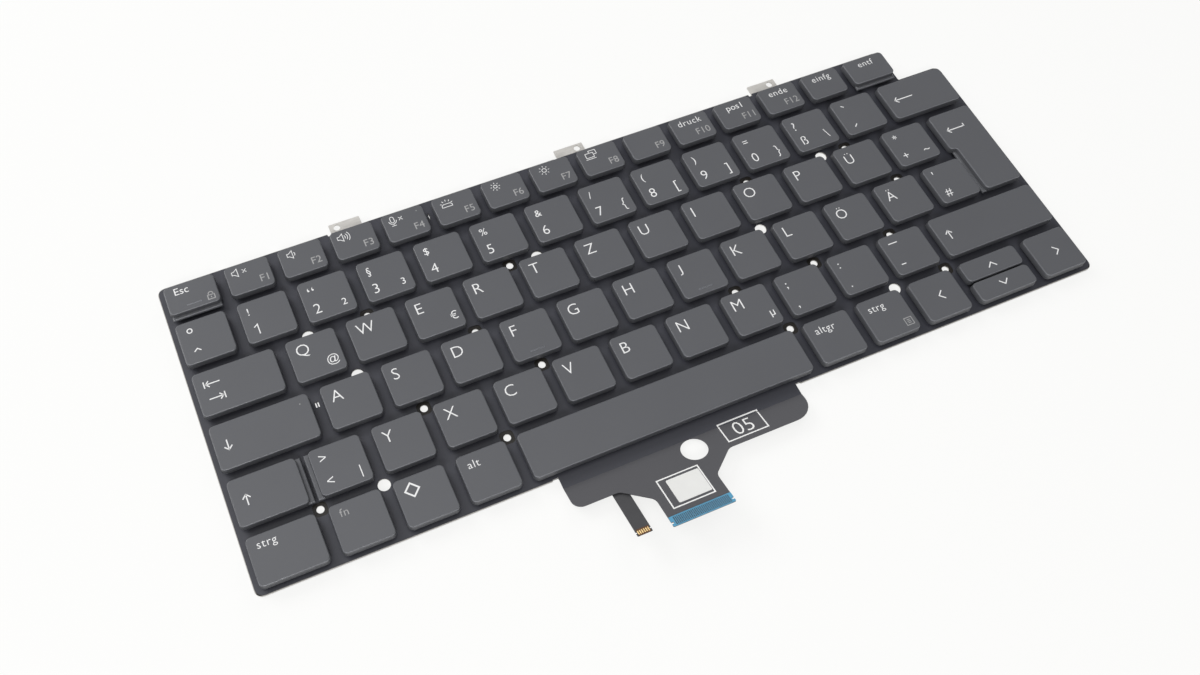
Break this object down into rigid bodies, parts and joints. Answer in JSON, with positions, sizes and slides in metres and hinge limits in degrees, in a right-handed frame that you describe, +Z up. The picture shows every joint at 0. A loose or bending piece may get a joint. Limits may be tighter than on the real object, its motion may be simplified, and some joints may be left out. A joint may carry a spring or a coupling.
{
  "type": "laptop replacement keyboard",
  "caption": "Thin laptop keyboard: hollow low keycaps on rubber domes over a switch film, a holed metal plate and a backlight sheet, with two ribbon tails in front.",
  "frame": {"origin": "under the middle of the part's bounding box, on the surface it lies on", "axes": "+X along the rows to the right, +Y to the back towards the function row, +Z up out of the key tops"},
  "size_m": [0.2784, 0.1356, 0.0097],
  "materials": {
    "keycap_plastic": "fine matt coat",
    "black_film": "matt film",
    "plate_metal": "satin sheet",
    "light_guide": "matt film",
    "ribbon_film": "matt film",
    "blue_stiffener": "satin film",
    "white_label": "matt paper film",
    "dome_rubber": "moulded silicone"
  },
  "bodies": {
    "deck": {"backlight_sheet": "light_guide", "backlight_tail": "ribbon_film", "base_plate": "plate_metal", "blank_label": "white_label", "function_row_keys": "keycap_plastic", "membrane": "black_film", "number_row_keys": "keycap_plastic", "rubber_domes": "dome_rubber", "tail_stiffener": "blue_stiffener"},
    "key_a": {"key_a": "keycap_plastic"},
    "key_a_umlaut": {"key_a_umlaut": "keycap_plastic"},
    "key_alt": {"key_alt": "keycap_plastic"},
    "key_alt_gr": {"key_alt_gr": "keycap_plastic"},
    "key_arrow_down": {"key_arrow_down": "keycap_plastic"},
    "key_arrow_left": {"key_arrow_left": "keycap_plastic"},
    "key_arrow_right": {"key_arrow_right": "keycap_plastic"},
    "key_arrow_up": {"key_arrow_up": "keycap_plastic"},
    "key_b": {"key_b": "keycap_plastic"},
    "key_c": {"key_c": "keycap_plastic"},
    "key_caps_lock": {"key_caps_lock": "keycap_plastic"},
    "key_comma": {"key_comma": "keycap_plastic"},
    "key_control_left": {"key_control_left": "keycap_plastic"},
    "key_control_right": {"key_control_right": "keycap_plastic"},
    "key_d": {"key_d": "keycap_plastic"},
    "key_e": {"key_e": "keycap_plastic"},
    "key_f": {"key_f": "keycap_plastic"},
    "key_fn": {"key_fn": "keycap_plastic"},
    "key_g": {"key_g": "keycap_plastic"},
    "key_h": {"key_h": "keycap_plastic"},
    "key_hash": {"key_hash": "keycap_plastic"},
    "key_i": {"key_i": "keycap_plastic"},
    "key_j": {"key_j": "keycap_plastic"},
    "key_k": {"key_k": "keycap_plastic"},
    "key_l": {"key_l": "keycap_plastic"},
    "key_less_than": {"key_less_than": "keycap_plastic"},
    "key_m": {"key_m": "keycap_plastic"},
    "key_minus": {"key_minus": "keycap_plastic"},
    "key_n": {"key_n": "keycap_plastic"},
    "key_o": {"key_o": "keycap_plastic"},
    "key_o_umlaut": {"key_o_umlaut": "keycap_plastic"},
    "key_p": {"key_p": "keycap_plastic"},
    "key_period": {"key_period": "keycap_plastic"},
    "key_plus": {"key_plus": "keycap_plastic"},
    "key_q": {"key_q": "keycap_plastic"},
    "key_r": {"key_r": "keycap_plastic"},
    "key_return": {"key_return": "keycap_plastic"},
    "key_s": {"key_s": "keycap_plastic"},
    "key_shift_left": {"key_shift_left": "keycap_plastic"},
    "key_shift_right": {"key_shift_right": "keycap_plastic"},
    "key_space": {"key_space": "keycap_plastic"},
    "key_system": {"key_system": "keycap_plastic"},
    "key_t": {"key_t": "keycap_plastic"},
    "key_tab": {"key_tab": "keycap_plastic"},
    "key_u": {"key_u": "keycap_plastic"},
    "key_u_umlaut": {"key_u_umlaut": "keycap_plastic"},
    "key_v": {"key_v": "keycap_plastic"},
    "key_w": {"key_w": "keycap_plastic"},
    "key_x": {"key_x": "keycap_plastic"},
    "key_y": {"key_y": "keycap_plastic"},
    "key_z": {"key_z": "keycap_plastic"}
  },
  "joints": [
    {"name": "press_a", "type": "slide", "parent": "deck", "child": "key_a", "axis": [0, 0, -1], "range_m": [0, 0.0013], "stiffness_N_per_m": 400, "springref_m": -0.0005, "deforming": ["rubber_domes"]},
    {"name": "press_a_umlaut", "type": "slide", "parent": "deck", "child": "key_a_umlaut", "axis": [0, 0, -1], "range_m": [0, 0.0013], "stiffness_N_per_m": 400, "springref_m": -0.0005, "deforming": ["rubber_domes"]},
    {"name": "press_alt", "type": "slide", "parent": "deck", "child": "key_alt", "axis": [0, 0, -1], "range_m": [0, 0.0013], "stiffness_N_per_m": 400, "springref_m": -0.0005, "deforming": ["rubber_domes"]},
    {"name": "press_alt_gr", "type": "slide", "parent": "deck", "child": "key_alt_gr", "axis": [0, 0, -1], "range_m": [0, 0.0013], "stiffness_N_per_m": 400, "springref_m": -0.0005, "deforming": ["rubber_domes"]},
    {"name": "press_arrow_down", "type": "slide", "parent": "deck", "child": "key_arrow_down", "axis": [0, 0, -1], "range_m": [0, 0.0013], "stiffness_N_per_m": 400, "springref_m": -0.0005, "deforming": ["rubber_domes"]},
    {"name": "press_arrow_left", "type": "slide", "parent": "deck", "child": "key_arrow_left", "axis": [0, 0, -1], "range_m": [0, 0.0013], "stiffness_N_per_m": 400, "springref_m": -0.0005, "deforming": ["rubber_domes"]},
    {"name": "press_arrow_right", "type": "slide", "parent": "deck", "child": "key_arrow_right", "axis": [0, 0, -1], "range_m": [0, 0.0013], "stiffness_N_per_m": 400, "springref_m": -0.0005, "deforming": ["rubber_domes"]},
    {"name": "press_arrow_up", "type": "slide", "parent": "deck", "child": "key_arrow_up", "axis": [0, 0, -1], "range_m": [0, 0.0013], "stiffness_N_per_m": 400, "springref_m": -0.0005, "deforming": ["rubber_domes"]},
    {"name": "press_b", "type": "slide", "parent": "deck", "child": "key_b", "axis": [0, 0, -1], "range_m": [0, 0.0013], "stiffness_N_per_m": 400, "springref_m": -0.0005, "deforming": ["rubber_domes"]},
    {"name": "press_c", "type": "slide", "parent": "deck", "child": "key_c", "axis": [0, 0, -1], "range_m": [0, 0.0013], "stiffness_N_per_m": 400, "springref_m": -0.0005, "deforming": ["rubber_domes"]},
    {"name": "press_caps_lock", "type": "slide", "parent": "deck", "child": "key_caps_lock", "axis": [0, 0, -1], "range_m": [0, 0.0013], "stiffness_N_per_m": 400, "springref_m": -0.0005, "deforming": ["rubber_domes"]},
    {"name": "press_comma", "type": "slide", "parent": "deck", "child": "key_comma", "axis": [0, 0, -1], "range_m": [0, 0.0013], "stiffness_N_per_m": 400, "springref_m": -0.0005, "deforming": ["rubber_domes"]},
    {"name": "press_control_left", "type": "slide", "parent": "deck", "child": "key_control_left", "axis": [0, 0, -1], "range_m": [0, 0.0013], "stiffness_N_per_m": 400, "springref_m": -0.0005, "deforming": ["rubber_domes"]},
    {"name": "press_control_right", "type": "slide", "parent": "deck", "child": "key_control_right", "axis": [0, 0, -1], "range_m": [0, 0.0013], "stiffness_N_per_m": 400, "springref_m": -0.0005, "deforming": ["rubber_domes"]},
    {"name": "press_d", "type": "slide", "parent": "deck", "child": "key_d", "axis": [0, 0, -1], "range_m": [0, 0.0013], "stiffness_N_per_m": 400, "springref_m": -0.0005, "deforming": ["rubber_domes"]},
    {"name": "press_e", "type": "slide", "parent": "deck", "child": "key_e", "axis": [0, 0, -1], "range_m": [0, 0.0013], "stiffness_N_per_m": 400, "springref_m": -0.0005, "deforming": ["rubber_domes"]},
    {"name": "press_f", "type": "slide", "parent": "deck", "child": "key_f", "axis": [0, 0, -1], "range_m": [0, 0.0013], "stiffness_N_per_m": 400, "springref_m": -0.0005, "deforming": ["rubber_domes"]},
    {"name": "press_fn", "type": "slide", "parent": "deck", "child": "key_fn", "axis": [0, 0, -1], "range_m": [0, 0.0013], "stiffness_N_per_m": 400, "springref_m": -0.0005, "deforming": ["rubber_domes"]},
    {"name": "press_g", "type": "slide", "parent": "deck", "child": "key_g", "axis": [0, 0, -1], "range_m": [0, 0.0013], "stiffness_N_per_m": 400, "springref_m": -0.0005, "deforming": ["rubber_domes"]},
    {"name": "press_h", "type": "slide", "parent": "deck", "child": "key_h", "axis": [0, 0, -1], "range_m": [0, 0.0013], "stiffness_N_per_m": 400, "springref_m": -0.0005, "deforming": ["rubber_domes"]},
    {"name": "press_hash", "type": "slide", "parent": "deck", "child": "key_hash", "axis": [0, 0, -1], "range_m": [0, 0.0013], "stiffness_N_per_m": 400, "springref_m": -0.0005, "deforming": ["rubber_domes"]},
    {"name": "press_i", "type": "slide", "parent": "deck", "child": "key_i", "axis": [0, 0, -1], "range_m": [0, 0.0013], "stiffness_N_per_m": 400, "springref_m": -0.0005, "deforming": ["rubber_domes"]},
    {"name": "press_j", "type": "slide", "parent": "deck", "child": "key_j", "axis": [0, 0, -1], "range_m": [0, 0.0013], "stiffness_N_per_m": 400, "springref_m": -0.0005, "deforming": ["rubber_domes"]},
    {"name": "press_k", "type": "slide", "parent": "deck", "child": "key_k", "axis": [0, 0, -1], "range_m": [0, 0.0013], "stiffness_N_per_m": 400, "springref_m": -0.0005, "deforming": ["rubber_domes"]},
    {"name": "press_l", "type": "slide", "parent": "deck", "child": "key_l", "axis": [0, 0, -1], "range_m": [0, 0.0013], "stiffness_N_per_m": 400, "springref_m": -0.0005, "deforming": ["rubber_domes"]},
    {"name": "press_less_than", "type": "slide", "parent": "deck", "child": "key_less_than", "axis": [0, 0, -1], "range_m": [0, 0.0013], "stiffness_N_per_m": 400, "springref_m": -0.0005, "deforming": ["rubber_domes"]},
    {"name": "press_m", "type": "slide", "parent": "deck", "child": "key_m", "axis": [0, 0, -1], "range_m": [0, 0.0013], "stiffness_N_per_m": 400, "springref_m": -0.0005, "deforming": ["rubber_domes"]},
    {"name": "press_minus", "type": "slide", "parent": "deck", "child": "key_minus", "axis": [0, 0, -1], "range_m": [0, 0.0013], "stiffness_N_per_m": 400, "springref_m": -0.0005, "deforming": ["rubber_domes"]},
    {"name": "press_n", "type": "slide", "parent": "deck", "child": "key_n", "axis": [0, 0, -1], "range_m": [0, 0.0013], "stiffness_N_per_m": 400, "springref_m": -0.0005, "deforming": ["rubber_domes"]},
    {"name": "press_o", "type": "slide", "parent": "deck", "child": "key_o", "axis": [0, 0, -1], "range_m": [0, 0.0013], "stiffness_N_per_m": 400, "springref_m": -0.0005, "deforming": ["rubber_domes"]},
    {"name": "press_o_umlaut", "type": "slide", "parent": "deck", "child": "key_o_umlaut", "axis": [0, 0, -1], "range_m": [0, 0.0013], "stiffness_N_per_m": 400, "springref_m": -0.0005, "deforming": ["rubber_domes"]},
    {"name": "press_p", "type": "slide", "parent": "deck", "child": "key_p", "axis": [0, 0, -1], "range_m": [0, 0.0013], "stiffness_N_per_m": 400, "springref_m": -0.0005, "deforming": ["rubber_domes"]},
    {"name": "press_period", "type": "slide", "parent": "deck", "child": "key_period", "axis": [0, 0, -1], "range_m": [0, 0.0013], "stiffness_N_per_m": 400, "springref_m": -0.0005, "deforming": ["rubber_domes"]},
    {"name": "press_plus", "type": "slide", "parent": "deck", "child": "key_plus", "axis": [0, 0, -1], "range_m": [0, 0.0013], "stiffness_N_per_m": 400, "springref_m": -0.0005, "deforming": ["rubber_domes"]},
    {"name": "press_q", "type": "slide", "parent": "deck", "child": "key_q", "axis": [0, 0, -1], "range_m": [0, 0.0013], "stiffness_N_per_m": 400, "springref_m": -0.0005, "deforming": ["rubber_domes"]},
    {"name": "press_r", "type": "slide", "parent": "deck", "child": "key_r", "axis": [0, 0, -1], "range_m": [0, 0.0013], "stiffness_N_per_m": 400, "springref_m": -0.0005, "deforming": ["rubber_domes"]},
    {"name": "press_return", "type": "slide", "parent": "deck", "child": "key_return", "axis": [0, 0, -1], "range_m": [0, 0.0013], "stiffness_N_per_m": 400, "springref_m": -0.0005, "deforming": ["rubber_domes"]},
    {"name": "press_s", "type": "slide", "parent": "deck", "child": "key_s", "axis": [0, 0, -1], "range_m": [0, 0.0013], "stiffness_N_per_m": 400, "springref_m": -0.0005, "deforming": ["rubber_domes"]},
    {"name": "press_shift_left", "type": "slide", "parent": "deck", "child": "key_shift_left", "axis": [0, 0, -1], "range_m": [0, 0.0013], "stiffness_N_per_m": 400, "springref_m": -0.0005, "deforming": ["rubber_domes"]},
    {"name": "press_shift_right", "type": "slide", "parent": "deck", "child": "key_shift_right", "axis": [0, 0, -1], "range_m": [0, 0.0013], "stiffness_N_per_m": 400, "springref_m": -0.0005, "deforming": ["rubber_domes"]},
    {"name": "press_space", "type": "slide", "parent": "deck", "child": "key_space", "axis": [0, 0, -1], "range_m": [0, 0.0013], "stiffness_N_per_m": 400, "springref_m": -0.0005, "deforming": ["rubber_domes"]},
    {"name": "press_system", "type": "slide", "parent": "deck", "child": "key_system", "axis": [0, 0, -1], "range_m": [0, 0.0013], "stiffness_N_per_m": 400, "springref_m": -0.0005, "deforming": ["rubber_domes"]},
    {"name": "press_t", "type": "slide", "parent": "deck", "child": "key_t", "axis": [0, 0, -1], "range_m": [0, 0.0013], "stiffness_N_per_m": 400, "springref_m": -0.0005, "deforming": ["rubber_domes"]},
    {"name": "press_tab", "type": "slide", "parent": "deck", "child": "key_tab", "axis": [0, 0, -1], "range_m": [0, 0.0013], "stiffness_N_per_m": 400, "springref_m": -0.0005, "deforming": ["rubber_domes"]},
    {"name": "press_u", "type": "slide", "parent": "deck", "child": "key_u", "axis": [0, 0, -1], "range_m": [0, 0.0013], "stiffness_N_per_m": 400, "springref_m": -0.0005, "deforming": ["rubber_domes"]},
    {"name": "press_u_umlaut", "type": "slide", "parent": "deck", "child": "key_u_umlaut", "axis": [0, 0, -1], "range_m": [0, 0.0013], "stiffness_N_per_m": 400, "springref_m": -0.0005, "deforming": ["rubber_domes"]},
    {"name": "press_v", "type": "slide", "parent": "deck", "child": "key_v", "axis": [0, 0, -1], "range_m": [0, 0.0013], "stiffness_N_per_m": 400, "springref_m": -0.0005, "deforming": ["rubber_domes"]},
    {"name": "press_w", "type": "slide", "parent": "deck", "child": "key_w", "axis": [0, 0, -1], "range_m": [0, 0.0013], "stiffness_N_per_m": 400, "springref_m": -0.0005, "deforming": ["rubber_domes"]},
    {"name": "press_x", "type": "slide", "parent": "deck", "child": "key_x", "axis": [0, 0, -1], "range_m": [0, 0.0013], "stiffness_N_per_m": 400, "springref_m": -0.0005, "deforming": ["rubber_domes"]},
    {"name": "press_y", "type": "slide", "parent": "deck", "child": "key_y", "axis": [0, 0, -1], "range_m": [0, 0.0013], "stiffness_N_per_m": 400, "springref_m": -0.0005, "deforming": ["rubber_domes"]},
    {"name": "press_z", "type": "slide", "parent": "deck", "child": "key_z", "axis": [0, 0, -1], "range_m": [0, 0.0013], "stiffness_N_per_m": 400, "springref_m": -0.0005, "deforming": ["rubber_domes"]}
  ]
}
